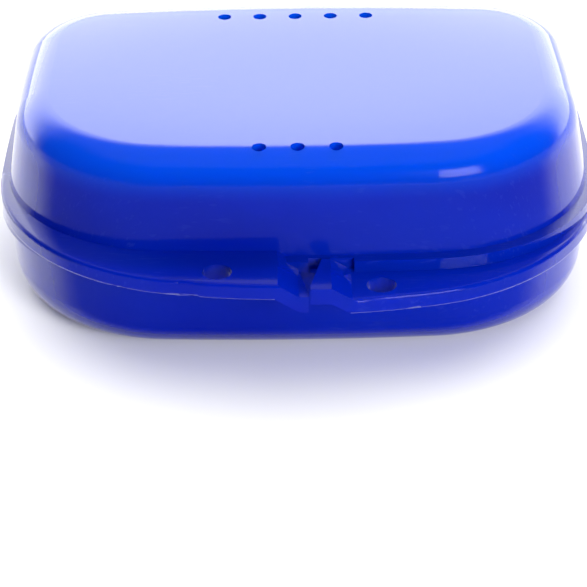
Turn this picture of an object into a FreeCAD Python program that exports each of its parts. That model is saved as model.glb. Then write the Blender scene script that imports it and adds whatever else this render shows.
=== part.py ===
"""Mouthguard in a hinged two-shell carrying case.

Frame: millimetres, +Z up, origin at the centre of the base's flat underside,
-Y towards the front flanges that open the case, +Y towards the rear hinge.
Both shells are drawn mouth down with the parting plane at z = 0. The lid is
then lifted to the parting plane, and the base is turned over onto its own mouth.
"""
import FreeCAD, Part
import math
import os
import re
import Sketcher

DIMENSIONS = {
    # shells
    "shell_half_width": 47.3,
    "shell_half_depth": 32.6,
    "front_corner": 27.0,
    "rear_corner": 16.5,
    "side_middle": -4.5,
    "side_bow": 440.0,
    "end_bow": 400.0,
    "wall": 1.8,
    "lid_height": 17.5,
    "lid_draft": 9.4,
    "lid_round": 5.5,
    "base_height": 16.5,
    "base_draft": 4.5,
    "base_round": 6.5,
    # narrow rim around each mouth
    "rim_side": 1.0,
    "rim_front": 1.8,
    "rim_rear": 1.0,
    "rim_thick": 1.9,
    # wide half flange at the front of each shell
    "flange_side": 0.9,
    "flange_reach": 10.4,
    "flange_thick": 2.7,
    "flange_nose_rise": 13.14,
    "flange_corner": 34.7,
    "flange_side_bow": 72.0,
    "flange_side_centre": -4.7,
    "flange_start": 5.0,
    "flange_edge_round": 0.6,
    # stepped ends where the two flanges meet
    "split_offset": 1.5,
    "split_gap": 0.3,
    "step_drop": 2.0,
    "lid_step_flat": 1.5,
    "base_step_flat": 3.2,
    "step_run": 3.2,
    "step_relief": 2.0,
    "notch_depth": 1.2,
    # lanyard holes
    "lanyard_offset": 12.6,
    "lanyard_edge": 4.6,
    "lanyard_radius": 2.3,
    # air vents in the lid
    "vent_radius": 1.1,
    "vent_pitch": 5.95,
    "vent_front": 25.6,
    "vent_rear": 22.0,
    # rear hinge
    "hinge_offset": 22.0,
    "knuckle_radius": 3.0,
    "knuckle_width": 8.0,
    "lug_width": 3.3,
    "hinge_gap": 0.3,
    "hinge_clear": 0.4,
    "pin_radius": 1.25,
    "pin_clear": 0.07,
    "pin_chamfer": 0.3,
    # mouthguard
    "arch_radius": 30.0,
    "arch_width": 13.5,
    "leg_length": 18.0,
    "leg_flare": 6.0,
    "guard_height": 19.0,
    "frame_wall": 1.8,
    "frame_floor": 2.0,
    "frame_round": 2.2,
    "liner_wall": 2.0,
    "liner_floor": 2.5,
    "liner_height": 17.6,
    "tongue_height": 13.0,
    "edge_round": 0.7,
    "pad_length": 15.0,
    "pad_width": 7.0,
}

# places that several pieces share, as formulas of the dimensions
FLANGE_WIDTH = "shell_half_width + flange_side"
FLANGE_NOSE_BOW = (f"( ( ( {FLANGE_WIDTH} ) * ( {FLANGE_WIDTH} ) + flange_nose_rise * flange_nose_rise )"
                   " / ( 2 * flange_nose_rise ) )")
HINGE_Y = "shell_half_depth + rim_rear + hinge_clear + knuckle_radius"
LID_SPLIT = "split_offset - split_gap / 2"
BASE_SPLIT = "0 - split_offset - split_gap / 2"
LUG_CENTRE = "knuckle_width / 2 + hinge_gap + lug_width / 2"
ARM_ROOT = "shell_half_depth - wall * 3"
GUARD_BACK = "( leg_length * cos( leg_flare ) - arch_radius ) / 2"
PAD_MIDDLE = "arch_radius - frame_wall - ( arch_width - frame_wall ) / 2"
TINY = 1e-3


def make_sheet(doc):
    """Put every driving dimension into one spreadsheet, a name and a number a row."""
    sheet = doc.addObject("Spreadsheet::Sheet", "Dims")
    for row, (name, number) in enumerate(DIMENSIONS.items(), start=1):
        sheet.set(f"A{row}", name)
        sheet.set(f"B{row}", str(number))
        sheet.setAlias(f"B{row}", name)
    doc.recompute()
    return sheet


def formula(text):
    """Turn a formula of bare dimension names into one that reads the spreadsheet."""
    return re.sub("[a-z_]+", lambda word: f"Dims.{word[0]}" if word[0] in DIMENSIONS else word[0], text)


def number(owner, text):
    """Value of a formula of dimension names."""
    return float(owner.evalExpression(formula(text)))


def bind(owner, name, text):
    """Tie a property to a formula of dimension names."""
    owner.setExpression(name, formula(text))


def limit(sketch, kind, *items):
    """Add a sketch constraint whose last item is a formula of dimension names."""
    references, text = items[:-1], items[-1]
    index = sketch.addConstraint(Sketcher.Constraint(kind, *references, number(sketch, text)))
    sketch.setExpression(f"Constraints[{index}]", formula(text))


def fix(sketch, kind, *items):
    """Add a geometric constraint."""
    sketch.addConstraint(Sketcher.Constraint(kind, *items))


def origin_plane(body, role):
    """The body's own origin plane with this role."""
    return next(item for item in body.Origin.OriginFeatures if item.Role == role)


def new_sketch(body, name, role, offset=None):
    """Sketch attached to one of the body's origin planes, raised by a formula if given."""
    sketch = body.newObject("Sketcher::SketchObject", name)
    sketch.AttachmentSupport = [(origin_plane(body, role), "")]
    sketch.MapMode = "FlatFace"
    if offset:
        bind(sketch, "AttachmentOffset.Base.z", offset)
    body.Document.recompute()
    return sketch


def add_arc(sketch, centre, radius, start, end):
    """Anticlockwise arc between two angles in radians; returns its index."""
    circle = Part.Circle(FreeCAD.Vector(*centre, 0), FreeCAD.Vector(0, 0, 1), radius)
    return sketch.addGeometry(Part.ArcOfCircle(circle, start, end))


def add_polygon(sketch, points):
    """Closed run of lines joined end to end; returns their indices."""
    corners = [FreeCAD.Vector(x, y, 0) for x, y in points]
    lines = []
    for first, second in zip(corners, corners[1:] + corners[:1]):
        lines.append(sketch.addGeometry(Part.LineSegment(first, second)))
    for line, following in zip(lines, lines[1:] + lines[:1]):
        fix(sketch, "Coincident", line, 2, following, 1)
    return lines


def place_corners(sketch, lines, corners):
    """Tie each corner of a polygon to a pair of formulas, measured from the origin."""
    for line, (across, along) in zip(lines, corners):
        limit(sketch, "DistanceX", -1, 1, line, 1, across)
        limit(sketch, "DistanceY", -1, 1, line, 1, along)


def bound_polygon(sketch, corners):
    """Closed polygon whose corners are pairs of formulas."""
    points = [(number(sketch, across), number(sketch, along)) for across, along in corners]
    place_corners(sketch, add_polygon(sketch, points), corners)


def inner_corner(first, first_reach, second, second_reach, quadrant):
    """Centre of the corner arc that touches two larger arcs from inside."""
    gap = math.dist(first, second)
    along = (first_reach ** 2 - second_reach ** 2 + gap ** 2) / (2 * gap)
    away = math.sqrt(first_reach ** 2 - along ** 2)
    ux, uy = (second[0] - first[0]) / gap, (second[1] - first[1]) / gap
    foot = (first[0] + along * ux, first[1] + along * uy)
    options = [(foot[0] - away * uy, foot[1] + away * ux), (foot[0] + away * uy, foot[1] - away * ux)]
    return max(options, key=lambda point: point[0] * quadrant[0] + point[1] * quadrant[1])


def heading(start, end):
    """Direction from one point to another, in radians from 0 to a full turn."""
    return math.atan2(end[1] - start[1], end[0] - start[0]) % (2 * math.pi)


def bowed_outline(sketch, half_width, front, rear, grow):
    """Rounded rectangle with gently bowed sides and fuller front corners, as eight tangent arcs.

    half_width, front, rear and grow are formulas; front and rear are the
    distances from the X axis to the outline before and behind it, and grow is
    added to the radius of each corner.
    """
    width, ahead, behind = (number(sketch, text) for text in (half_width, front, rear))
    side_bow, end_bow, middle = (number(sketch, text) for text in ("side_bow", "end_bow", "side_middle"))
    corners = [f"rear_corner + {grow}"] * 2 + [f"front_corner + {grow}"] * 2
    radii = [number(sketch, corner) for corner in corners]
    right, left = (width - side_bow, middle), (side_bow - width, middle)
    back, fore = (0, behind - end_bow), (0, end_bow - ahead)
    centres = []
    for radius, side, end, quadrant in zip(radii, (right, left, left, right), (back, back, fore, fore),
                                           ((1, 1), (-1, 1), (-1, -1), (1, -1))):
        centres.append(inner_corner(side, side_bow - radius, end, end_bow - radius, quadrant))
    big = [(right, side_bow), (back, end_bow), (left, side_bow), (fore, end_bow)]
    arcs = []
    for index, (centre, bow) in enumerate(big):
        before, after = centres[index - 1], centres[index]
        arcs.append(add_arc(sketch, centre, bow, heading(centre, before), heading(centre, after)))
        following = big[(index + 1) % 4][0]
        arcs.append(add_arc(sketch, after, radii[index], heading(centre, after), heading(following, after)))
    for arc, following in zip(arcs, arcs[1:] + arcs[:1]):
        fix(sketch, "Tangent", arc, 2, following, 1)
    for arc, bow in zip(arcs[::2], ("side_bow", "end_bow", "side_bow", "end_bow")):
        limit(sketch, "Radius", arc, bow)
    for arc, corner in zip(arcs[1::2], corners):
        limit(sketch, "Radius", arc, corner)
    limit(sketch, "DistanceX", arcs[0], 3, -1, 1, f"side_bow - ( {half_width} )")
    limit(sketch, "DistanceX", -1, 1, arcs[4], 3, f"side_bow - ( {half_width} )")
    limit(sketch, "DistanceY", -1, 1, arcs[0], 3, "side_middle")
    limit(sketch, "DistanceY", -1, 1, arcs[4], 3, "side_middle")
    limit(sketch, "DistanceY", arcs[2], 3, -1, 1, f"end_bow - ( {rear} )")
    limit(sketch, "DistanceY", -1, 1, arcs[6], 3, f"end_bow - ( {front} )")
    fix(sketch, "PointOnObject", arcs[2], 3, -2)
    fix(sketch, "PointOnObject", arcs[6], 3, -2)


def flange_outline(sketch):
    """Front flange: a bowed nose, two corners and two sides, closed by a straight back."""
    width, nose = number(sketch, FLANGE_WIDTH), number(sketch, "shell_half_depth + flange_reach")
    end_bow, side_bow = number(sketch, FLANGE_NOSE_BOW), number(sketch, "flange_side_bow")
    corner, middle = number(sketch, "flange_corner"), number(sketch, "flange_side_centre")
    start = number(sketch, "flange_start")
    fore = (0, end_bow - nose)
    right, left = (width - side_bow, middle), (side_bow - width, middle)
    near_left = inner_corner(left, side_bow - corner, fore, end_bow - corner, (-1, -1))
    near_right = inner_corner(right, side_bow - corner, fore, end_bow - corner, (1, -1))
    rise = math.asin((-start - middle) / side_bow)
    arcs = [
        add_arc(sketch, left, side_bow, math.pi - rise, heading(left, near_left)),
        add_arc(sketch, near_left, corner, heading(left, near_left), heading(fore, near_left)),
        add_arc(sketch, fore, end_bow, heading(fore, near_left), heading(fore, near_right)),
        add_arc(sketch, near_right, corner, heading(fore, near_right), heading(right, near_right)),
        add_arc(sketch, right, side_bow, heading(right, near_right), 2 * math.pi + rise),
    ]
    reach = width - side_bow + side_bow * math.cos(rise)
    ends = FreeCAD.Vector(reach, -start, 0), FreeCAD.Vector(-reach, -start, 0)
    back = sketch.addGeometry(Part.LineSegment(*ends))
    for arc, following in zip(arcs, arcs[1:]):
        fix(sketch, "Tangent", arc, 2, following, 1)
    fix(sketch, "Coincident", arcs[4], 2, back, 1)
    fix(sketch, "Coincident", back, 2, arcs[0], 1)
    fix(sketch, "Horizontal", back)
    limit(sketch, "DistanceY", back, 1, -1, 1, "flange_start")
    for arc, radius in zip(arcs, ("flange_side_bow", "flange_corner", FLANGE_NOSE_BOW,
                                  "flange_corner", "flange_side_bow")):
        limit(sketch, "Radius", arc, radius)
    fix(sketch, "PointOnObject", arcs[2], 3, -2)
    limit(sketch, "DistanceY", -1, 1, arcs[2], 3, f"{FLANGE_NOSE_BOW} - shell_half_depth - flange_reach")
    limit(sketch, "DistanceX", -1, 1, arcs[0], 3, f"flange_side_bow - ( {FLANGE_WIDTH} )")
    limit(sketch, "DistanceX", arcs[4], 3, -1, 1, f"flange_side_bow - ( {FLANGE_WIDTH} )")
    limit(sketch, "DistanceY", -1, 1, arcs[0], 3, "flange_side_centre")
    limit(sketch, "DistanceY", -1, 1, arcs[4], 3, "flange_side_centre")


def volume_of(body):
    """Volume of the body's current solid."""
    body.Document.recompute()
    return body.Shape.Volume


def pad(body, sketch, length, draft=None, reverse=False, both_ways=False):
    """Pad a sketch by a formula and check that it added material."""
    before = body.Shape.Volume if body.Tip else 0.0
    feature = body.newObject("PartDesign::Pad", f"{sketch.Name}_pad")
    feature.Profile = sketch
    bind(feature, "Length", length)
    if draft:
        bind(feature, "TaperAngle", f"0 - {draft}")
    feature.Reversed = reverse
    feature.Midplane = both_ways
    if volume_of(body) <= before + TINY:
        raise RuntimeError(f"{feature.Name} added nothing")
    return feature


def pocket(body, sketch, length=None, draft=None, reverse=False, both_ways=False):
    """Cut a sketch through all, or to a formula's depth, and check that it removed material."""
    before = body.Shape.Volume
    feature = body.newObject("PartDesign::Pocket", f"{sketch.Name}_cut")
    feature.Profile = sketch
    if length:
        bind(feature, "Length", length)
    else:
        feature.Type = "ThroughAll"
    if draft:
        bind(feature, "TaperAngle", f"0 - {draft}")
    feature.Reversed = reverse
    feature.Midplane = both_ways
    if volume_of(body) >= before - TINY:
        raise RuntimeError(f"{feature.Name} removed nothing")
    return feature


def edges_where(shape, test):
    """Names of the edges of which every sample point passes the test."""
    names = []
    for index, edge in enumerate(shape.Edges, start=1):
        first, last = edge.ParameterRange
        if all(test(edge.valueAt(first + (last - first) * step / 6)) for step in range(7)):
            names.append(f"Edge{index}")
    return names


def dress(body, kind, size_name, size, test):
    """Fillet or chamfer every edge that passes the test."""
    base = body.Tip
    names = edges_where(base.Shape, test)
    if not names:
        raise RuntimeError(f"{body.Name}: no edge found for {kind} {size}")
    feature = body.newObject(f"PartDesign::{kind}", f"{body.Name}_{kind.lower()}")
    feature.Base = (base, names)
    bind(feature, size_name, size)
    body.Document.recompute()
    if "Invalid" in feature.State:
        raise RuntimeError(f"{feature.Name}: {kind} {size} failed")
    return feature


def round_edges(body, radius, test):
    """Fillet the edges that pass the test."""
    return dress(body, "Fillet", "Radius", radius, test)


def add_flange(body, split, flat):
    """Half flange whose end steps down past the parting plane beside the other shell's.

    split is the formula of its end along X, flat the length of the stepped part.
    """
    outline = new_sketch(body, f"{body.Name}_flange", "XY_Plane", "0 - step_drop")
    flange_outline(outline)
    pad(body, outline, "flange_thick + step_drop")
    section = new_sketch(body, f"{body.Name}_step", "XZ_Plane")
    far = "( shell_half_width + flange_reach )"
    foot, knee = f"{split} - {flat}", f"{split} - {flat} - step_run"
    bound_polygon(section, [
        (f"0 - {far}", "0 - flange_reach"), (far, "0 - flange_reach"),
        (far, "flange_reach"), (f"0 - {far}", "flange_reach"),
    ])
    bound_polygon(section, [
        (f"0 - {far} + 1", "0"), (knee, "0"), (foot, "0 - step_drop"), (split, "0 - step_drop"),
        (split, "flange_thick - step_drop"), (foot, "flange_thick - step_drop"),
        (knee, "flange_thick"), (f"0 - {far} + 1", "flange_thick"),
    ])
    pocket(body, section, both_ways=True)
    behind = new_sketch(body, f"{body.Name}_step_back", "XY_Plane", "0 - step_drop")
    set_back = "notch_depth - split_gap - shell_half_depth - rim_front"
    bound_polygon(behind, [
        (f"{knee} - 1", set_back), (f"{split} + 1", set_back),
        (f"{split} + 1", "1 - flange_start"), (f"{knee} - 1", "1 - flange_start"),
    ])
    pocket(body, behind, "step_drop", reverse=True)
    back = -number(section, "flange_start") + TINY
    nose = -number(section, "shell_half_depth + rim_front")
    level = number(section, "flange_thick")
    inner = number(section, "shell_half_width")

    def outer_edge(point):
        flat_edge = abs(point.z) < TINY or abs(point.z - level) < TINY
        return flat_edge and point.y < back and (point.y < nose or point.x < 0.6 * -inner)

    round_edges(body, "flange_edge_round", outer_edge)
    relief = new_sketch(body, f"{body.Name}_relief", "XY_Plane", "0 - flange_reach")
    bound_polygon(relief, [
        (f"{split} + 1", "0 - shell_half_depth - flange_reach + notch_depth"),
        (f"{split} + 1", "0 - shell_half_depth"),
        (f"{split} - step_relief", "0 - shell_half_depth"),
        (split, "0 - shell_half_depth - flange_reach + notch_depth"),
    ])
    pocket(body, relief, reverse=True)


def add_lanyard_hole(body):
    """Round hole down through the wide part of the flange."""
    sketch = new_sketch(body, f"{body.Name}_lanyard", "XY_Plane", "0 - flange_reach")
    centre = FreeCAD.Vector(-number(sketch, "lanyard_offset"),
                            -number(sketch, "shell_half_depth + flange_reach - lanyard_edge"), 0)
    hole = sketch.addGeometry(Part.Circle(centre, FreeCAD.Vector(0, 0, 1), number(sketch, "lanyard_radius")))
    limit(sketch, "Radius", hole, "lanyard_radius")
    limit(sketch, "DistanceX", hole, 3, -1, 1, "lanyard_offset")
    limit(sketch, "DistanceY", hole, 3, -1, 1, "shell_half_depth + flange_reach - lanyard_edge")
    pocket(body, sketch, reverse=True)


def add_rim(body, notch_from, notch_to):
    """Narrow rim all round the mouth, set back where the other shell's flange steps past it."""
    outline = new_sketch(body, f"{body.Name}_rim", "XY_Plane")
    bowed_outline(outline, "shell_half_width + rim_side", "shell_half_depth + rim_front",
                  "shell_half_depth + rim_rear", "rim_side")
    pad(body, outline, "rim_thick")
    notch = new_sketch(body, f"{body.Name}_notch", "XY_Plane", "0 - step_drop")
    front = "0 - shell_half_depth - rim_front"
    bound_polygon(notch, [
        (notch_from, f"{front} - 1"), (notch_to, f"{front} - 1"),
        (notch_to, f"{front} + notch_depth"), (notch_from, f"{front} + notch_depth"),
    ])
    pocket(body, notch, reverse=True)


def add_walls(body, height, draft, edge_round):
    """Solid outside of the shell: drafted walls and a large round at the closed end."""
    outline = new_sketch(body, f"{body.Name}_walls", "XY_Plane")
    bowed_outline(outline, "shell_half_width", "shell_half_depth", "shell_half_depth", "0")
    pad(body, outline, height, draft)
    shoulder = number(outline, f"{height} - {edge_round} / 3")
    round_edges(body, edge_round, lambda point: point.z > shoulder)


def hollow(body, height, draft, edge_round):
    """Drafted, rounded cavity from the mouth, leaving the wall all round and at the closed end."""
    core = new_body(body.Document, f"{body.Name}_core")
    outline = new_sketch(core, f"{core.Name}_outline", "XY_Plane")
    bowed_outline(outline, "shell_half_width - wall", "shell_half_depth - wall",
                  "shell_half_depth - wall", "( 0 - wall )")
    pad(core, outline, f"{height} - wall", draft)
    shoulder = number(outline, f"{height} - wall - {edge_round} / 3")
    round_edges(core, f"{edge_round} - wall", lambda point: point.z > shoulder)
    before = body.Shape.Volume
    cut = body.newObject("PartDesign::Boolean", f"{body.Name}_hollow")
    cut.Type = "Cut"
    cut.setObjects([core])
    if volume_of(body) >= before - TINY:
        raise RuntimeError(f"{cut.Name} removed nothing")


def add_vents(body, name, count, along):
    """Row of small round holes through the roof, centred on the YZ plane."""
    sketch = new_sketch(body, f"{body.Name}_{name}", "XY_Plane", "rim_thick + wall")
    start = f"vent_pitch * {(count - 1) / 2}"
    across, up = number(sketch, start), number(sketch, along)
    circle = Part.Circle(FreeCAD.Vector(-across, up, 0), FreeCAD.Vector(0, 0, 1), number(sketch, "vent_radius"))
    vent = sketch.addGeometry(circle)
    limit(sketch, "Radius", vent, "vent_radius")
    limit(sketch, "DistanceX", vent, 3, -1, 1, start)
    limit(sketch, "DistanceY", -1, 1, vent, 3, along)
    first = pocket(body, sketch, reverse=True)
    before = body.Shape.Volume
    row = body.newObject("PartDesign::LinearPattern", f"{body.Name}_{name}_row")
    row.Originals = [first]
    row.Direction = (sketch, ["H_Axis"])
    bind(row, "Length", f"vent_pitch * {count - 1}")
    row.Occurrences = count
    body.Tip = row
    if volume_of(body) >= before - TINY:
        raise RuntimeError(f"{row.Name} removed nothing")


def add_knuckle(body, name, centre, width):
    """Pair of hinge knuckles, one on each side, each an arm ending in a round barrel."""
    section = new_sketch(body, f"{body.Name}_{name}", "YZ_Plane", centre)
    axis, radius = number(section, HINGE_Y), number(section, "knuckle_radius")
    gap, root = number(section, "split_gap / 2"), number(section, ARM_ROOT)
    rise = math.pi - math.asin(gap / radius)
    barrel = add_arc(section, (axis, 0), radius, rise, 2 * math.pi + math.pi / 2)
    near = axis + radius * math.cos(rise)
    points = [FreeCAD.Vector(*point, 0) for point in ((axis, radius), (root, radius), (root, gap), (near, gap))]
    lines = [section.addGeometry(Part.LineSegment(*pair)) for pair in zip(points, points[1:])]
    for first, second in zip([barrel] + lines, lines):
        fix(section, "Coincident", first, 2, second, 1)
    fix(section, "Coincident", lines[2], 2, barrel, 1)
    fix(section, "Horizontal", lines[0])
    fix(section, "Vertical", lines[1])
    fix(section, "Horizontal", lines[2])
    fix(section, "PointOnObject", barrel, 3, -1)
    limit(section, "Radius", barrel, "knuckle_radius")
    limit(section, "DistanceX", -1, 1, barrel, 3, HINGE_Y)
    fix(section, "Vertical", barrel, 3, barrel, 2)
    limit(section, "DistanceX", -1, 1, lines[1], 1, ARM_ROOT)
    limit(section, "DistanceY", -1, 1, lines[2], 1, "split_gap / 2")
    arm = pad(body, section, width, both_ways=True)
    before = body.Shape.Volume
    pair = body.newObject("PartDesign::Mirrored", f"{body.Name}_{name}_pair")
    pair.Originals = [arm]
    pair.MirrorPlane = (origin_plane(body, "YZ_Plane"), [""])
    body.Tip = pair
    if volume_of(body) <= before + TINY:
        raise RuntimeError(f"{pair.Name} added nothing")


def bore_knuckles(body, radius):
    """Bore along the hinge axis through every knuckle of this shell."""
    section = new_sketch(body, f"{body.Name}_bore", "YZ_Plane")
    centre = FreeCAD.Vector(number(section, HINGE_Y), 0, 0)
    bore = section.addGeometry(Part.Circle(centre, FreeCAD.Vector(0, 0, 1), number(section, radius)))
    limit(section, "Radius", bore, radius)
    limit(section, "DistanceX", -1, 1, bore, 3, HINGE_Y)
    fix(section, "PointOnObject", bore, 3, -1)
    pocket(body, section, both_ways=True)


def new_body(doc, name):
    """Body whose label names the piece."""
    body = doc.addObject("PartDesign::Body", name)
    body.Label = name
    doc.recompute()
    return body


def make_lid(doc):
    """Lid shell, mouth down at its own z = 0."""
    body = new_body(doc, "lid_shell")
    add_flange(body, LID_SPLIT, "lid_step_flat")
    add_lanyard_hole(body)
    add_rim(body, LID_SPLIT, "split_offset + base_step_flat + step_run + split_gap * 2")
    add_walls(body, "lid_height", "lid_draft", "lid_round")
    add_knuckle(body, "knuckle", "hinge_offset", "knuckle_width")
    hollow(body, "lid_height", "lid_draft", "lid_round")
    add_vents(body, "rear_vents", 5, "vent_rear")
    add_vents(body, "front_vents", 3, "0 - vent_front")
    bore_knuckles(body, "pin_radius + pin_clear")
    bind(body, "Placement.Base.z", "base_height")
    return body


def make_base(doc):
    """Base shell, drawn mouth down like the lid and turned over about the Y axis."""
    body = new_body(doc, "base_shell")
    add_flange(body, BASE_SPLIT, "base_step_flat")
    add_lanyard_hole(body)
    add_rim(body, BASE_SPLIT, "lid_step_flat + step_run - split_offset + split_gap * 2")
    add_walls(body, "base_height", "base_draft", "base_round")
    add_knuckle(body, "inner_lug", f"hinge_offset - ( {LUG_CENTRE} )", "lug_width")
    add_knuckle(body, "outer_lug", f"hinge_offset + {LUG_CENTRE}", "lug_width")
    hollow(body, "base_height", "base_draft", "base_round")
    bore_knuckles(body, "pin_radius")
    body.Placement.Rotation = FreeCAD.Rotation(FreeCAD.Vector(0, 1, 0), 180)
    bind(body, "Placement.Base.z", "base_height")
    return body


def make_pin(doc, side, name):
    """Hinge pin from the outer face of one base lug to the outer face of the other."""
    body = new_body(doc, name)
    section = new_sketch(body, f"{name}_section", "YZ_Plane")
    circle = section.addGeometry(Part.Circle(FreeCAD.Vector(), FreeCAD.Vector(0, 0, 1),
                                             number(section, "pin_radius")))
    limit(section, "Radius", circle, "pin_radius")
    fix(section, "Coincident", circle, 3, -1, 1)
    pad(body, section, "knuckle_width + hinge_gap * 2 + lug_width * 2", both_ways=True)
    half_length = number(section, "knuckle_width / 2 + hinge_gap + lug_width")
    dress(body, "Chamfer", "Size", "pin_chamfer", lambda point: abs(abs(point.x) - half_length) < TINY)
    bind(body, "Placement.Base.x", f"{side} * hinge_offset")
    bind(body, "Placement.Base.y", HINGE_Y)
    bind(body, "Placement.Base.z", "base_height")
    return body


def leg_point(side, outward, along):
    """Formulas of a point on a flared leg of the arch, at a distance outward and along it."""
    return (f"{side} * ( ( {outward} ) * cos( leg_flare ) + ( {along} ) * sin( leg_flare ) )",
            f"( {along} ) * cos( leg_flare ) - ( {outward} ) * sin( leg_flare )")


def horseshoe(sketch, outside, inside):
    """Arch open to the rear: two arcs about the origin, whose radii are formulas, and flared legs."""
    lean = math.radians(number(sketch, "leg_flare"))
    ends = {}
    for radius in (outside, inside):
        arc = add_arc(sketch, (0, 0), number(sketch, radius), math.pi + lean, 2 * math.pi - lean)
        fix(sketch, "Coincident", arc, 3, -1, 1)
        limit(sketch, "Radius", arc, radius)
        for side, arc_end in ((-1, 1), (1, 2)):
            foot, tip = leg_point(side, radius, "0"), leg_point(side, radius, "leg_length")
            points = [FreeCAD.Vector(number(sketch, x), number(sketch, y), 0) for x, y in (foot, tip)]
            leg = sketch.addGeometry(Part.LineSegment(*points))
            fix(sketch, "Tangent", arc, arc_end, leg, 1)
            limit(sketch, "DistanceX", -1, 1, leg, 2, tip[0])
            limit(sketch, "DistanceY", -1, 1, leg, 2, tip[1])
            ends.setdefault(side, []).append((leg, points[1]))
    for (outer, outer_tip), (inner, inner_tip) in ends.values():
        cap = sketch.addGeometry(Part.LineSegment(outer_tip, inner_tip))
        fix(sketch, "Coincident", outer, 2, cap, 1)
        fix(sketch, "Coincident", inner, 2, cap, 2)


def add_arch(body, name, outside, inside, height, level=None):
    """Pad a horseshoe by a height, from a level."""
    sketch = new_sketch(body, f"{body.Name}_{name}", "XY_Plane", level)
    horseshoe(sketch, outside, inside)
    pad(body, sketch, height)


def pad_outline(sketch, side):
    """Rectangle beneath the back teeth, along the middle of one leg."""
    near, far = f"{PAD_MIDDLE} - pad_width / 2", f"{PAD_MIDDLE} + pad_width / 2"
    bound_polygon(sketch, [leg_point(side, near, "0"), leg_point(side, far, "0"),
                           leg_point(side, far, "pad_length"), leg_point(side, near, "pad_length")])


def level_edges(body, level, outward=None):
    """Test for the edges at a height, and outside a distance from the arch's middle line."""
    height = number(body.Tip, level)
    reach = number(body.Tip, outward) if outward else 0.0
    lean = math.radians(number(body.Tip, "leg_flare"))

    def test(point):
        on_leg = abs(point.x) * math.cos(lean) - point.y * math.sin(lean)
        away = on_leg if point.y > -abs(point.x) * math.tan(lean) else math.hypot(point.x, point.y)
        return abs(point.z - height) < TINY and away > reach

    return test


def seat_guard(body):
    """Lay a piece of the mouthguard on the floor of the base, centred front to back."""
    bind(body, "Placement.Base.y", f"0 - {GUARD_BACK}")
    bind(body, "Placement.Base.z", "wall")


def make_guard_frame(doc):
    """Firm outer frame: a floor with two windows, and a wall along the lips and cheeks."""
    body = new_body(doc, "mouthguard_frame")
    add_arch(body, "floor", "arch_radius", "arch_radius - arch_width", "frame_floor")
    add_arch(body, "cheek", "arch_radius", "arch_radius - frame_wall", "guard_height")
    round_edges(body, "frame_round", level_edges(body, "0", "arch_radius - frame_wall / 2"))
    round_edges(body, "edge_round", level_edges(body, "guard_height"))
    for side, name in ((-1, "left"), (1, "right")):
        window = new_sketch(body, f"{body.Name}_window_{name}", "XY_Plane")
        pad_outline(window, side)
        pocket(body, window, "frame_floor", reverse=True)
    seat_guard(body)
    return body


def make_guard_liner(doc):
    """Soft liner that takes the teeth: a floor, a cheek wall and a lower tongue wall."""
    body = new_body(doc, "mouthguard_liner")
    outside, inside = "arch_radius - frame_wall", "arch_radius - arch_width"
    add_arch(body, "floor", outside, inside, "liner_floor", "frame_floor")
    add_arch(body, "cheek", outside, f"{outside} - liner_wall", "liner_height - frame_floor", "frame_floor")
    add_arch(body, "tongue", f"{inside} + liner_wall", inside, "tongue_height - frame_floor", "frame_floor")
    round_edges(body, "edge_round", level_edges(body, "liner_height"))
    round_edges(body, "edge_round", level_edges(body, "tongue_height"))
    seat_guard(body)
    return body


def make_bite_pad(doc, side, name):
    """Firm pad that fills one window of the frame's floor."""
    body = new_body(doc, name)
    section = new_sketch(body, f"{name}_outline", "XY_Plane")
    pad_outline(section, side)
    pad(body, section, "frame_floor")
    seat_guard(body)
    return body


def export_parts(doc, pieces):
    """Check every object and every piece, then write one file a piece."""
    doc.recompute()
    for item in doc.Objects:
        if "Invalid" in item.State or "Error" in item.State:
            raise RuntimeError(f"{item.Name} failed: {item.State}")
    for piece in pieces:
        if piece.Shape.isNull() or not piece.Shape.isValid():
            raise RuntimeError(f"{piece.Label} has no valid solid")
    os.makedirs("parts", exist_ok=True)
    for piece in pieces:
        piece.Shape.exportStep(f"parts/{piece.Label}.step")
        box = piece.Shape.BoundBox
        print(f"{piece.Label}: solids {len(piece.Shape.Solids)}, volume {piece.Shape.Volume:.1f},",
              f"x {box.XMin:.2f}..{box.XMax:.2f} y {box.YMin:.2f}..{box.YMax:.2f} z {box.ZMin:.2f}..{box.ZMax:.2f}")


def main():
    doc = FreeCAD.newDocument("mouthguard_case")
    make_sheet(doc)
    export_parts(doc, [
        make_base(doc),
        make_lid(doc),
        make_pin(doc, -1, "hinge_pin_left"),
        make_pin(doc, 1, "hinge_pin_right"),
        make_guard_frame(doc),
        make_guard_liner(doc),
        make_bite_pad(doc, -1, "bite_pad_left"),
        make_bite_pad(doc, 1, "bite_pad_right"),
    ])


main()
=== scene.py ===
"""Mouthguard in its hinged, translucent blue carrying case, on a pale studio floor."""

import math

import bpy
from mathutils import Matrix, Vector


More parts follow.
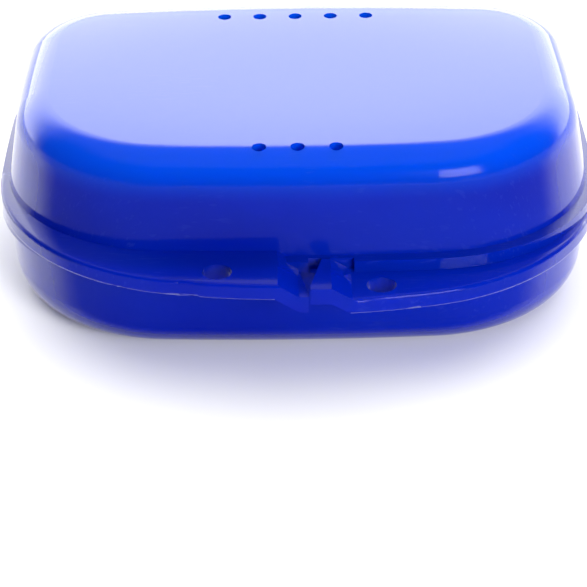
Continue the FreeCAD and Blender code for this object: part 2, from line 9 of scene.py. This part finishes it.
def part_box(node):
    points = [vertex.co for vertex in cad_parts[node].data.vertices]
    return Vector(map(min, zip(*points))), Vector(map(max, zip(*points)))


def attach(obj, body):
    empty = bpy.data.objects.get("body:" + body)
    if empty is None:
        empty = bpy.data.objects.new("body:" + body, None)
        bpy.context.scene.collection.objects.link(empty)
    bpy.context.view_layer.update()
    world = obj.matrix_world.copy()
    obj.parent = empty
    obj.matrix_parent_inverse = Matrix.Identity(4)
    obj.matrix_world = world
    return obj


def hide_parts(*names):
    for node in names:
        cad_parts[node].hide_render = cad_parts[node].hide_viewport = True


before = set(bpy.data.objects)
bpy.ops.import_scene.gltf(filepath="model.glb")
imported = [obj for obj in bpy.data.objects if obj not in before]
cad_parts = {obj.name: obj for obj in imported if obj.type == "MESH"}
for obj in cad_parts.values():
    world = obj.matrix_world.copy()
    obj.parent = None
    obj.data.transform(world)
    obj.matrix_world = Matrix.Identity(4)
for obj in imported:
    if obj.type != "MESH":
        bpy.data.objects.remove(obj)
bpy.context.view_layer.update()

# the guard's sizes, in metres
ARCH_RADIUS = 0.030
ARCH_WIDTH = 0.0135
CHEEK_WALL = 0.0018
FRAME_FLOOR = 0.002
LINER_WALL = 0.002
LINER_FLOOR = 0.0025
LEG_LENGTH = 0.018
LEG_FLARE = math.radians(6)
TONGUE_TOP = 0.0148
PAD_LENGTH = 0.015
PAD_WIDTH = 0.007
PAD_GAP = 0.00015
PAD_CORNER = 0.0016
FRONT_STEPS = 28
LEG_STEPS = 11

# the small shapes on it, in metres
RIB_FOOT = 0.003
RIB_TOP = 0.011
RIB_MARGIN = 0.00025
RIB_HEIGHT = 0.0004
RIM_BAND = 0.0016
BEAD_MARGIN = 0.0002
BEAD_HEIGHT = 0.0003
FRAME_FOOT_ROUND = 0.0018
FRAME_EDGE = 0.0004
FIN_FOOT = 0.0022
FIN_BELOW_RIM = 0.0025
FIN_MARGIN = 0.0003
FIN_HEIGHT = 0.0005
DIMPLE_MARGIN = 0.0004
DIMPLE_DEPTH = 0.0004
LINER_EDGE = 0.00035
PAD_EDGE = 0.0003
NUB_HEIGHT = 0.00035
NUB_RADIUS = 0.00075
NUB_ACROSS = 0.0016
NUB_SPACING = 0.0026
CLOSE = 1e-5
MERGE = 1e-6
SHARP = math.radians(50)
SMOOTH_ANGLE = 45

# the shells' finish: sizes in metres, then colours
ROOF_HALF_WIDTH = 0.0473
ROOF_HALF_DEPTH = 0.0326
CROWN_DROP = 0.0006
# heights over which the painted glow at the top of the walls fades in
ROLLOVER_LOW = 0.0265
ROLLOVER_HIGH = 0.0335
DEEP_BLUE = (0.0, 0.012, 0.42, 1)
THIN_BLUE = (0.0, 0.02, 0.5, 1)
# bright azure painted glow at the rollover, standing in for light passing through the roof; not the plastic's
# own colour
PAINTED_GLOW_BLUE = (0.0, 0.09, 0.85, 1)
RUBBED_BLUE = (0.25, 0.35, 0.9, 1)

# the other colours
STEEL_DARK = (0.52, 0.53, 0.56, 1)
STEEL_LIGHT = (0.78, 0.79, 0.8, 1)
NAVY_DARK = (0.006, 0.01, 0.09, 1)
NAVY_LIGHT = (0.012, 0.02, 0.16, 1)
GEL_DARK = (0.02, 0.06, 0.42, 1)
GEL_LIGHT = (0.05, 0.12, 0.6, 1)
BLACK_DARK = (0.006, 0.006, 0.008, 1)
BLACK_LIGHT = (0.018, 0.018, 0.022, 1)
FLOOR_DARK = (0.95, 0.95, 0.96, 1)
FLOOR_LIGHT = (0.97, 0.97, 0.97, 1)

# camera and light: lengths in metres, angles in radians
CAMERA_LENS = 171.6
CAMERA_RISE = math.radians(30.4)
CAMERA_TURN = math.radians(-0.08)
CAMERA_ROLL = math.radians(-0.71)
CAMERA_AWAY = 0.43
CAMERA_TARGET = Vector((-0.00094, -0.0381, 0.015))
FLOOR_SIZE = 8.0
FLOOR_GAP = 0.0002
LIGHT_TARGET = Vector((0, 0, 0.02))
PANEL_TOP = math.sin(math.radians(62))
PANEL_FULL = math.sin(math.radians(38))
PANEL_LIGHT = 3.0
DOME_LIGHT = 1.5
HAZE_LEAST = 0.12
HAZE_RISE = 0.2


# ---------------------------------------------------------------- nodes

def new_tree(name):
    """Empty node material; returns it, its tree and its Principled shader, linked to the output."""
    material = bpy.data.materials.new(name)
    material.use_nodes = True
    tree = material.node_tree
    tree.nodes.clear()
    shader = tree.nodes.new("ShaderNodeBsdfPrincipled")
    output = tree.nodes.new("ShaderNodeOutputMaterial")
    tree.links.new(shader.outputs["BSDF"], output.inputs["Surface"])
    return material, tree, shader


def feed(tree, value, socket):
    """Link a socket, or set a plain value."""
    if isinstance(value, bpy.types.NodeSocket):
        tree.links.new(value, socket)
    else:
        socket.default_value = value


def calc(tree, operation, *values):
    """Math node on sockets or plain numbers; returns its output."""
    made = tree.nodes.new("ShaderNodeMath")
    made.operation = operation
    for value, socket in zip(values, made.inputs):
        feed(tree, value, socket)
    return made.outputs[0]


def mix_colours(tree, amount, first, second):
    """Mix two colours by an amount."""
    made = tree.nodes.new("ShaderNodeMix")
    made.data_type = "RGBA"
    feed(tree, amount, made.inputs[0])
    feed(tree, first, made.inputs[6])
    feed(tree, second, made.inputs[7])
    return made.outputs[2]


def step(tree, value, low, high, soft="SMOOTHSTEP"):
    """Rise from 0 to 1 as a value goes from low to high."""
    made = tree.nodes.new("ShaderNodeMapRange")
    made.interpolation_type = soft
    for name, item in (("Value", value), ("From Min", low), ("From Max", high)):
        feed(tree, item, made.inputs[name])
    return made.outputs["Result"]


def noise(tree, place, scale, detail=3.0, stretch=(1, 1, 1), turn=(0, 0, 0)):
    """Noise over a stretched and turned place; returns its 0 to 1 value."""
    mapping = tree.nodes.new("ShaderNodeMapping")
    tree.links.new(place, mapping.inputs["Vector"])
    mapping.inputs["Scale"].default_value = stretch
    mapping.inputs["Rotation"].default_value = turn
    made = tree.nodes.new("ShaderNodeTexNoise")
    tree.links.new(mapping.outputs["Vector"], made.inputs["Vector"])
    feed(tree, scale, made.inputs["Scale"])
    made.inputs["Detail"].default_value = detail
    return made.outputs["Fac"]


def bump(tree, height, strength=1.0, distance=1.0):
    """Bump node whose height is in metres when its distance is 1."""
    made = tree.nodes.new("ShaderNodeBump")
    made.inputs["Strength"].default_value = strength
    made.inputs["Distance"].default_value = distance
    feed(tree, height, made.inputs["Height"])
    return made.outputs["Normal"]


def place_of(tree):
    """Object coordinates of the piece."""
    return tree.nodes.new("ShaderNodeTexCoord").outputs["Object"]


def new_group(name, inputs, outputs):
    """Shader node group with named number inputs and outputs; returns its tree, entry and exit."""
    tree = bpy.data.node_groups.new(name, "ShaderNodeTree")
    for label, value in inputs:
        socket = tree.interface.new_socket(label, in_out="INPUT", socket_type="NodeSocketFloat")
        socket.default_value = value
    for label in outputs:
        tree.interface.new_socket(label, in_out="OUTPUT", socket_type="NodeSocketFloat")
    return tree, tree.nodes.new("NodeGroupInput"), tree.nodes.new("NodeGroupOutput")


def handling_scuffs_group():
    """Fine rubbed scratches in three directions, gathered in worn patches."""
    tree, entry, leave = new_group("handling_scuffs", [("Density", 220.0), ("Depth", 2e-6)],
                                   ["Rub", "Height"])
    place = place_of(tree)
    hairs = None
    for turn in ((0.3, 0.2, 0.5), (1.1, 0.4, 2.2), (0.2, 1.3, 1.2)):
        hair = noise(tree, place, entry.outputs["Density"], 2.0, (1, 14, 3), turn)
        line = step(tree, hair, 0.64, 0.72)
        hairs = line if hairs is None else calc(tree, "MAXIMUM", hairs, line)
    patch = step(tree, noise(tree, place, 45.0, 2.0), 0.45, 0.65)
    rub = calc(tree, "MULTIPLY", hairs, patch)
    tree.links.new(rub, leave.inputs["Rub"])
    tree.links.new(calc(tree, "MULTIPLY", rub, calc(tree, "MULTIPLY", entry.outputs["Depth"], -1.0)),
                   leave.inputs["Height"])
    return tree


def moulding_flow_group():
    """Slow swirls of thicker and thinner plastic from the moulding, and a slight orange-peel skin."""
    tree, entry, leave = new_group("moulding_flow", [("Size", 26.0), ("Ripple", 4e-6)], ["Flow", "Height"])
    place = place_of(tree)
    swirl = noise(tree, place, entry.outputs["Size"], 2.5, (1, 1.6, 2.2))
    skin = noise(tree, place, 420.0, 1.5)
    tree.links.new(step(tree, swirl, 0.3, 0.7), leave.inputs["Flow"])
    tree.links.new(calc(tree, "MULTIPLY", skin, entry.outputs["Ripple"]), leave.inputs["Height"])
    return tree


def soft_grain_group():
    """Matt grain of a moulded rubber, in pits of two sizes."""
    tree, entry, leave = new_group("soft_grain", [("Scale", 900.0), ("Depth", 2e-5)], ["Pits", "Height"])
    place = place_of(tree)
    fine = noise(tree, place, entry.outputs["Scale"], 2.0)
    broad = noise(tree, place, calc(tree, "MULTIPLY", entry.outputs["Scale"], 0.2), 2.0)
    pits = calc(tree, "ADD", calc(tree, "MULTIPLY", fine, 0.65), calc(tree, "MULTIPLY", broad, 0.35))
    tree.links.new(pits, leave.inputs["Pits"])
    tree.links.new(calc(tree, "MULTIPLY", pits, entry.outputs["Depth"]), leave.inputs["Height"])
    return tree


HANDLING_SCUFFS = handling_scuffs_group()
MOULDING_FLOW = moulding_flow_group()
SOFT_GRAIN = soft_grain_group()


def use(tree, group, **values):
    """Place a node group with its own input values."""
    made = tree.nodes.new("ShaderNodeGroup")
    made.node_tree = group
    for name, value in values.items():
        made.inputs[name].default_value = value
    return made.outputs


# ---------------------------------------------------------------- finishes

def clear_blue_plastic():
    """Polished translucent blue plastic with a faintly crowned skin, and a painted glow: the colour is painted
    brighter where the roof rolls over, standing in for light passing through the roof.
    """
    material, tree, shader = new_tree("clear_blue_plastic")
    place = place_of(tree)
    across, along, up = tree.nodes.new("ShaderNodeSeparateXYZ").outputs
    tree.links.new(place, across.node.inputs[0])
    flow = use(tree, MOULDING_FLOW, Size=24.0, Ripple=2e-6)
    scuffs = use(tree, HANDLING_SCUFFS, Density=230.0, Depth=3e-7)
    far_x = calc(tree, "POWER", calc(tree, "DIVIDE", across, ROOF_HALF_WIDTH), 2.0)
    far_y = calc(tree, "POWER", calc(tree, "DIVIDE", along, ROOF_HALF_DEPTH), 2.0)
    far = calc(tree, "ADD", far_x, far_y)
    crown = calc(tree, "MULTIPLY", calc(tree, "POWER", far, 2.0), -CROWN_DROP)
    height = calc(tree, "ADD", crown, calc(tree, "ADD", flow["Height"], scuffs["Height"]))
    normal = bump(tree, height)
    deep = mix_colours(tree, flow["Flow"], DEEP_BLUE, THIN_BLUE)
    # painted glow: the colour turns from the deep blue to a bright azure up the rollover at the top of the
    # walls, standing in for light from behind coming through the roof
    painted_glow = step(tree, up, ROLLOVER_LOW, ROLLOVER_HIGH)
    body = mix_colours(tree, painted_glow, deep, PAINTED_GLOW_BLUE)
    feed(tree, mix_colours(tree, calc(tree, "MULTIPLY", scuffs["Rub"], 0.04), body, RUBBED_BLUE),
         shader.inputs["Base Color"])
    feed(tree, calc(tree, "ADD", 0.14, calc(tree, "MULTIPLY", scuffs["Rub"], 0.12)),
         shader.inputs["Roughness"])
    feed(tree, normal, shader.inputs["Normal"])
    facing = tree.nodes.new("ShaderNodeLayerWeight").outputs["Facing"]
    feed(tree, normal, facing.node.inputs["Normal"])
    feed(tree, calc(tree, "ADD", 0.02, calc(tree, "MULTIPLY", step(tree, facing, 0.34, 0.52), 0.98)),
         shader.inputs["Coat Weight"])
    shader.inputs["Transmission Weight"].default_value = 0.5
    shader.inputs["Specular IOR Level"].default_value = 0.1
    shader.inputs["Coat Roughness"].default_value = 0.015
    feed(tree, normal, shader.inputs["Coat Normal"])
    shader.inputs["IOR"].default_value = 1.2
    return material


def drawn_steel():
    """Drawn stainless wire, streaked along its length."""
    material, tree, shader = new_tree("drawn_steel")
    place = place_of(tree)
    streaks = noise(tree, place, 900.0, 3.0, (0.05, 1, 1))
    scuffs = use(tree, HANDLING_SCUFFS, Density=500.0, Depth=2e-6)
    feed(tree, mix_colours(tree, streaks, STEEL_DARK, STEEL_LIGHT), shader.inputs["Base Color"])
    feed(tree, calc(tree, "ADD", 0.2, calc(tree, "MULTIPLY", streaks, 0.25)), shader.inputs["Roughness"])
    height = calc(tree, "ADD", calc(tree, "MULTIPLY", streaks, 4e-6), scuffs["Height"])
    feed(tree, bump(tree, height), shader.inputs["Normal"])
    shader.inputs["Metallic"].default_value = 1.0
    return material


def guard_rubber(name, dark, light, rough, grain, depth, gel=0.0):
    """Moulded rubber or gel: soft grain, worn lighter where it rubs."""
    material, tree, shader = new_tree(name)
    pits = use(tree, SOFT_GRAIN, Scale=grain, Depth=depth)
    scuffs = use(tree, HANDLING_SCUFFS, Density=160.0, Depth=4e-6)
    flow = use(tree, MOULDING_FLOW, Size=60.0, Ripple=2e-6)
    tone = mix_colours(tree, flow["Flow"], dark, light)
    rubbed = (*[part * 0.5 + 0.3 for part in light[:3]], 1)
    feed(tree, mix_colours(tree, calc(tree, "MULTIPLY", scuffs["Rub"], 0.08), tone, rubbed),
         shader.inputs["Base Color"])
    feed(tree, calc(tree, "ADD", rough, calc(tree, "MULTIPLY", pits["Pits"], 0.18)),
         shader.inputs["Roughness"])
    feed(tree, bump(tree, calc(tree, "ADD", pits["Height"], scuffs["Height"])), shader.inputs["Normal"])
    shader.inputs["Subsurface Weight"].default_value = gel
    shader.inputs["Subsurface Scale"].default_value = 0.002
    shader.inputs["Coat Weight"].default_value = 0.25 if gel else 0.0
    return material


# ---------------------------------------------------------------- modelling

def deselect():
    """Leave edit mode and select nothing."""
    if bpy.context.object and bpy.context.object.mode != "OBJECT":
        bpy.ops.object.mode_set(mode="OBJECT")
    bpy.ops.object.select_all(action="DESELECT")


def take(piece):
    """Make a piece the active one and the only selected one."""
    deselect()
    piece.select_set(True)
    bpy.context.view_layer.objects.active = piece


def edit(piece):
    """Take a piece and enter edit mode with nothing picked."""
    take(piece)
    bpy.ops.object.mode_set(mode="EDIT")
    bpy.ops.mesh.select_all(action="DESELECT")


def pick(piece, kind, test):
    """Pick only what passes a test: faces and vertices by place and normal, edges by their two ends."""
    bpy.ops.mesh.select_mode(type={"faces": "FACE", "edges": "EDGE", "verts": "VERT"}[kind])
    bpy.ops.mesh.select_all(action="DESELECT")
    bpy.ops.object.mode_set(mode="OBJECT")
    mesh = piece.data
    if kind == "faces":
        for face in mesh.polygons:
            face.select = test(face.center, face.normal)
    elif kind == "edges":
        for edge in mesh.edges:
            ends = [mesh.vertices[index].co for index in edge.vertices]
            edge.select = test(*ends)
    else:
        for vertex in mesh.vertices:
            vertex.select = test(vertex.co, vertex.normal)
    bpy.ops.object.mode_set(mode="EDIT")


def finish_modifier(piece, kind, **settings):
    """Add a modifier and apply it."""
    take(piece)
    made = piece.modifiers.new(kind.lower(), kind)
    for key, value in settings.items():
        setattr(made, key, value)
    bpy.ops.object.modifier_apply(modifier=made.name)


def smooth(piece):
    """Shade smooth across edges flatter than SMOOTH_ANGLE degrees."""
    take(piece)
    bpy.ops.object.shade_smooth_by_angle(angle=math.radians(SMOOTH_ANGLE))
    piece.select_set(False)


GUARD_LOW, GUARD_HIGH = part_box("mouthguard_frame")
LINER_LOW, LINER_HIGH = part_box("mouthguard_liner")
ARCH_MIDDLE = Vector((0, GUARD_LOW.y + ARCH_RADIUS, 0))
LEG_WAY = Vector((math.sin(LEG_FLARE), math.cos(LEG_FLARE), 0))


def sweep_arch(name, first, grows):
    """Half a section on the front plane, swept round the arch and along the leg, then mirrored.

    first is the (outside, inside, low, high) of the section's first face, measured
    out from the arch's middle and up from the floor; grows is a list of (test, way)
    by which edges of it are drawn out into further faces. The spin goes to the left
    and LEG_WAY leans to the right, so the legs lean in by LEG_FLARE.
    """
    outside, inside, low, high = first
    middle = ARCH_MIDDLE + Vector((0, -(outside + inside) / 2, (low + high) / 2))
    deselect()
    bpy.ops.mesh.primitive_plane_add(size=1, rotation=(math.pi / 2, 0, math.pi / 2), location=middle)
    piece = bpy.context.object
    piece.name = name
    piece.scale = (outside - inside, high - low, 1)
    bpy.ops.object.transform_apply(location=True, rotation=True, scale=True)
    edit(piece)
    for test, way in grows:
        pick(piece, "edges", test)
        bpy.ops.mesh.extrude_edges_move(TRANSFORM_OT_translate={"value": way})
    bpy.ops.mesh.select_mode(type="FACE")
    bpy.ops.mesh.select_all(action="SELECT")
    bpy.ops.mesh.spin(steps=FRONT_STEPS, angle=math.pi / 2 - LEG_FLARE, center=ARCH_MIDDLE, axis=(0, 0, 1))
    for _ in range(LEG_STEPS):
        bpy.ops.mesh.extrude_region_move(TRANSFORM_OT_translate={"value": LEG_WAY * (LEG_LENGTH / LEG_STEPS)})
    pick(piece, "faces", lambda centre, normal: abs(centre.x) < MERGE)
    bpy.ops.mesh.delete(type="FACE")
    finish_modifier(piece, "MIRROR", use_axis=(True, False, False), use_clip=True, merge_threshold=MERGE)
    edit(piece)
    bpy.ops.mesh.select_all(action="SELECT")
    bpy.ops.mesh.remove_doubles(threshold=MERGE)
    bpy.ops.mesh.normals_make_consistent(inside=False)
    return piece


def outward(point):
    """Distance of a point out from the arch's middle, round the front and along legs that lean out."""
    flat = point - ARCH_MIDDLE
    on_leg = abs(flat.x) * math.cos(LEG_FLARE) - flat.y * math.sin(LEG_FLARE)
    return on_leg if flat.y > -abs(flat.x) * math.tan(LEG_FLARE) else math.hypot(flat.x, flat.y)


def beat(point):
    """How many sweep steps a point is from the middle of the front, on legs that lean out."""
    flat = point - ARCH_MIDDLE
    angle = math.atan2(abs(flat.x), -flat.y)
    bend = math.pi / 2 - LEG_FLARE
    if angle < bend:
        return int(angle / bend * FRONT_STEPS)
    along = abs(flat.x) * math.sin(LEG_FLARE) + flat.y * math.cos(LEG_FLARE)
    return FRONT_STEPS + int(along / LEG_LENGTH * LEG_STEPS)


def lip_notch(piece, above):
    """Dip the rim at the middle of the front, for the cord of the upper lip."""
    for half, drop in ((0.009, 0.0006), (0.006, 0.0008), (0.003, 0.0006)):
        pick(piece, "verts", lambda place, normal: abs(place.x) < half and place.z > above and place.y < 0)
        bpy.ops.transform.translate(value=(0, 0, -drop))


def slab(name, middle, size, corner):
    """Slab with rounded upright corners, turned to lean out with a leg as in the CAD."""
    deselect()
    bpy.ops.mesh.primitive_cube_add(size=1, location=middle,
                                    rotation=(0, 0, -math.copysign(LEG_FLARE, middle.x)))
    piece = bpy.context.object
    piece.name = name
    piece.scale = size
    bpy.ops.object.transform_apply(location=True, rotation=True, scale=True)
    edit(piece)
    pick(piece, "edges", lambda a, b: abs(a.z - b.z) > 0.5 * size[2])
    bpy.ops.mesh.bevel(offset=corner, segments=6, affect="EDGES")
    return piece


def pad_middle(node):
    """Middle of a bite pad's box, and its thickness."""
    low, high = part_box(node)
    return (low + high) / 2, high.z - low.z


def model_frame():
    """Firm frame: a floor with two pad windows, and a ribbed cheek wall with a beaded rim and a lip notch."""
    floor = GUARD_LOW.z
    base = floor + FRAME_FLOOR
    wall = ARCH_RADIUS - CHEEK_WALL
    y_wall = ARCH_MIDDLE.y - wall
    rib_low, rib_high, rim = base + RIB_FOOT, base + RIB_TOP, GUARD_HIGH.z - RIM_BAND
    piece = sweep_arch("mouthguard_frame_moulding", (wall, ARCH_RADIUS - ARCH_WIDTH, floor, base), [
        (lambda a, b: max(a.y, b.y) < y_wall + CLOSE, (0, -CHEEK_WALL, 0)),
        (lambda a, b: min(a.z, b.z) > base - CLOSE and max(a.y, b.y) < y_wall + CLOSE, (0, 0, rib_low - base)),
        (lambda a, b: min(a.z, b.z) > rib_low - CLOSE, (0, 0, rib_high - rib_low)),
        (lambda a, b: min(a.z, b.z) > rib_high - CLOSE, (0, 0, rim - rib_high)),
        (lambda a, b: min(a.z, b.z) > rim - CLOSE, (0, 0, GUARD_HIGH.z - rim)),
    ])
    pick(piece, "edges", lambda a, b: max(a.z, b.z) < floor + CLOSE
         and min(outward(a), outward(b)) > ARCH_RADIUS - 1e-4 and beat((a + b) / 2) < FRONT_STEPS + LEG_STEPS)
    bpy.ops.mesh.bevel(offset=FRAME_FOOT_ROUND, segments=5, affect="EDGES")
    pick(piece, "faces", lambda centre, normal: outward(centre) > ARCH_RADIUS - 2e-4 and abs(normal.z) < 0.1
         and rib_low < centre.z < rib_high and beat(centre) % 3 == 1)
    bpy.ops.mesh.inset(thickness=RIB_MARGIN, depth=RIB_HEIGHT, use_individual=True)
    pick(piece, "faces", lambda centre, normal: outward(centre) > ARCH_RADIUS - 2e-4 and abs(normal.z) < 0.1
         and centre.z > rim)
    bpy.ops.mesh.inset(thickness=BEAD_MARGIN, depth=BEAD_HEIGHT, use_individual=False)
    lip_notch(piece, rib_high + CLOSE)
    finish_modifier(piece, "BEVEL", width=FRAME_EDGE, segments=3, limit_method="ANGLE", angle_limit=SHARP)
    for node in ("bite_pad_left", "bite_pad_right"):
        middle, thick = pad_middle(node)
        size = (PAD_WIDTH + 2 * PAD_GAP, PAD_LENGTH + 2 * PAD_GAP, 2 * thick)
        cutter = slab("pad_window_cutter", middle, size, PAD_CORNER)
        finish_modifier(piece, "BOOLEAN", object=cutter, operation="DIFFERENCE", solver="EXACT")
        bpy.data.objects.remove(cutter, do_unlink=True)
    smooth(piece)
    return piece


def model_liner():
    """Soft tray for the teeth: a dimpled floor between a finned cheek wall and a low tongue wall."""
    floor, base = LINER_LOW.z, LINER_LOW.z + LINER_FLOOR
    outside, inside = ARCH_RADIUS - CHEEK_WALL - LINER_WALL, ARCH_RADIUS - ARCH_WIDTH + LINER_WALL
    y_out, y_in = ARCH_MIDDLE.y - outside, ARCH_MIDDLE.y - inside
    fin_low, fin_high = base + FIN_FOOT, LINER_HIGH.z - FIN_BELOW_RIM
    piece = sweep_arch("mouthguard_liner_tray", (outside, inside, floor, base), [
        (lambda a, b: max(a.y, b.y) < y_out + CLOSE, (0, -LINER_WALL, 0)),
        (lambda a, b: min(a.y, b.y) > y_in - CLOSE, (0, LINER_WALL, 0)),
        (lambda a, b: min(a.z, b.z) > base - CLOSE and max(a.y, b.y) < y_out + CLOSE, (0, 0, fin_low - base)),
        (lambda a, b: min(a.z, b.z) > fin_low - CLOSE, (0, 0, fin_high - fin_low)),
        (lambda a, b: min(a.z, b.z) > fin_high - CLOSE, (0, 0, LINER_HIGH.z - fin_high)),
        (lambda a, b: min(a.z, b.z) > base - CLOSE and min(a.y, b.y) > y_in - CLOSE, (0, 0, TONGUE_TOP - base)),
    ])
    pick(piece, "faces", lambda centre, normal: abs(outward(centre) - outside) < 2e-4 and abs(normal.z) < 0.1
         and fin_low < centre.z < fin_high and beat(centre) % 2 == 1)
    bpy.ops.mesh.inset(thickness=FIN_MARGIN, depth=FIN_HEIGHT, use_individual=True)
    pick(piece, "faces", lambda centre, normal: abs(centre.z - base) < CLOSE and normal.z > 0.9
         and inside < outward(centre) < outside)
    bpy.ops.mesh.inset(thickness=DIMPLE_MARGIN, depth=-DIMPLE_DEPTH, use_individual=True)
    lip_notch(piece, fin_high + CLOSE)
    finish_modifier(piece, "BEVEL", width=LINER_EDGE, segments=3, limit_method="ANGLE", angle_limit=SHARP)
    smooth(piece)
    return piece


def model_bite_pad(name, node):
    """Round-cornered pad with a field of grip nubs underneath."""
    middle, thick = pad_middle(node)
    piece = slab(name, middle + Vector((0, 0, NUB_HEIGHT / 2)),
                 (PAD_WIDTH, PAD_LENGTH, thick - NUB_HEIGHT), PAD_CORNER)
    finish_modifier(piece, "BEVEL", width=PAD_EDGE, segments=3, limit_method="ANGLE", angle_limit=SHARP)
    deselect()
    bpy.ops.mesh.primitive_uv_sphere_add(segments=16, ring_count=8, radius=NUB_RADIUS)
    first = bpy.context.object
    first.scale = (1, 1, NUB_HEIGHT / NUB_RADIUS)
    bpy.ops.object.transform_apply(location=True, rotation=True, scale=True)
    turn = Matrix.Rotation(-math.copysign(LEG_FLARE, middle.x), 4, "Z")
    foot = middle - Vector((0, 0, thick / 2 - NUB_HEIGHT))
    nubs = []
    for row in range(-2, 3):
        for side in (-1, 1):
            copy = first.copy()
            copy.data = first.data.copy()
            bpy.context.scene.collection.objects.link(copy)
            copy.location = foot + turn @ Vector((side * NUB_ACROSS, row * NUB_SPACING, 0))
            nubs.append(copy)
    bpy.data.objects.remove(first, do_unlink=True)
    deselect()
    for copy in nubs:
        copy.select_set(True)
    piece.select_set(True)
    bpy.context.view_layer.objects.active = piece
    bpy.ops.object.join()
    smooth(piece)
    return piece


def fit_guard():
    """Model the guard's four pieces, finish them and hang them on its body."""
    navy = guard_rubber("navy_rubber", NAVY_DARK, NAVY_LIGHT, 0.34, 700.0, 1.2e-5)
    gel = guard_rubber("blue_gel", GEL_DARK, GEL_LIGHT, 0.16, 420.0, 6e-6, 0.4)
    black = guard_rubber("black_rubber", BLACK_DARK, BLACK_LIGHT, 0.5, 900.0, 1.6e-5)
    for piece, node, slot, finish in (
            (model_frame(), "mouthguard_frame", "guard_frame", navy),
            (model_liner(), "mouthguard_liner", "guard_liner", gel),
            (model_bite_pad("bite_pad_left_slab", "bite_pad_left"), "bite_pad_left", "bite_pad", black),
            (model_bite_pad("bite_pad_right_slab", "bite_pad_right"), "bite_pad_right", "bite_pad", black)):
        piece.data.materials.clear()
        piece.data.materials.append(finish)
        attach(piece, "mouthguard")
        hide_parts(node)


def place_camera():
    """Camera in front of the case, looking down on it from about thirty degrees."""
    data = bpy.data.cameras.new("camera")
    data.lens, data.sensor_width = CAMERA_LENS, 36.0
    data.clip_start = 0.01
    data.dof.use_dof = False
    camera = bpy.data.objects.new("camera", data)
    bpy.context.scene.collection.objects.link(camera)
    back = Vector((math.sin(CAMERA_TURN) * math.cos(CAMERA_RISE),
                   -math.cos(CAMERA_TURN) * math.cos(CAMERA_RISE), math.sin(CAMERA_RISE)))
    look = (-back).to_track_quat("-Z", "Y").to_matrix().to_4x4()
    camera.matrix_world = (Matrix.Translation(CAMERA_TARGET + back * CAMERA_AWAY) @ look
                           @ Matrix.Rotation(CAMERA_ROLL, 4, "Z"))
    bpy.context.scene.camera = camera


def lay_floor():
    """Wide pale floor just under the case."""
    deselect()
    bpy.ops.mesh.primitive_plane_add(size=FLOOR_SIZE, location=(0, 0, -FLOOR_GAP))
    floor = bpy.context.object
    floor.name = "studio_floor"
    material, tree, shader = new_tree("pale_floor")
    shade = noise(tree, place_of(tree), 3.0)
    feed(tree, mix_colours(tree, shade, FLOOR_DARK, FLOOR_LIGHT), shader.inputs["Base Color"])
    shader.inputs["Roughness"].default_value = 0.9
    shader.inputs["Specular IOR Level"].default_value = 0.0
    floor.data.materials.append(material)


def softbox(name, heading, height, distance, size, power):
    """Rectangular light at a heading clockwise from the rear and a height angle, facing the case."""
    data = bpy.data.lights.new(name, "AREA")
    data.shape = "RECTANGLE"
    data.size, data.size_y = size
    data.energy = power
    light = bpy.data.objects.new(name, data)
    bpy.context.scene.collection.objects.link(light)
    turn, rise = math.radians(heading), math.radians(height)
    way = Vector((math.sin(turn) * math.cos(rise), math.cos(turn) * math.cos(rise), math.sin(rise)))
    light.location = LIGHT_TARGET + way * distance
    light.rotation_euler = way.to_track_quat("Z", "Y").to_euler()


def light_studio():
    """White air, brightest low behind the case and dim behind the camera, with a window to its right."""
    world = bpy.data.worlds.new("studio_air")
    bpy.context.scene.world = world
    world.use_nodes = True
    tree = world.node_tree
    background = tree.nodes["Background"]
    background.inputs["Color"].default_value = (1, 1, 1, 1)
    parts = tree.nodes.new("ShaderNodeSeparateXYZ")
    tree.links.new(tree.nodes.new("ShaderNodeTexCoord").outputs["Generated"], parts.inputs[0])
    behind, above = parts.outputs["Y"], parts.outputs["Z"]
    low_enough = step(tree, above, PANEL_TOP, PANEL_FULL)
    behind_it = step(tree, behind, 0.2, 0.5)
    panel = calc(tree, "MULTIPLY", low_enough, behind_it)
    haze = calc(tree, "ADD", HAZE_LEAST, calc(tree, "MULTIPLY", step(tree, behind, -0.6, 0.8), HAZE_RISE))
    dome = calc(tree, "MULTIPLY", step(tree, above, 0.7, 0.9), DOME_LIGHT)
    glow = calc(tree, "ADD", calc(tree, "ADD", haze, dome), calc(tree, "MULTIPLY", panel, PANEL_LIGHT))
    seen = tree.nodes.new("ShaderNodeLightPath").outputs["Is Camera Ray"]
    level = calc(tree, "ADD", calc(tree, "MULTIPLY", glow, calc(tree, "SUBTRACT", 1.0, seen)), seen)
    tree.links.new(level, background.inputs["Strength"])
    softbox("window_softbox", 152, 18, 0.8, (0.34, 0.30), 7)


plastic = clear_blue_plastic()
steel = drawn_steel()
for node_name, finish in (("base_shell", plastic), ("lid_shell", plastic),
                          ("hinge_pin_left", steel), ("hinge_pin_right", steel)):
    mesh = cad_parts[node_name].data
    mesh.materials.clear()
    mesh.materials.append(finish)
fit_guard()
lay_floor()
light_studio()
place_camera()
bpy.context.scene.view_settings.view_transform = "Standard"
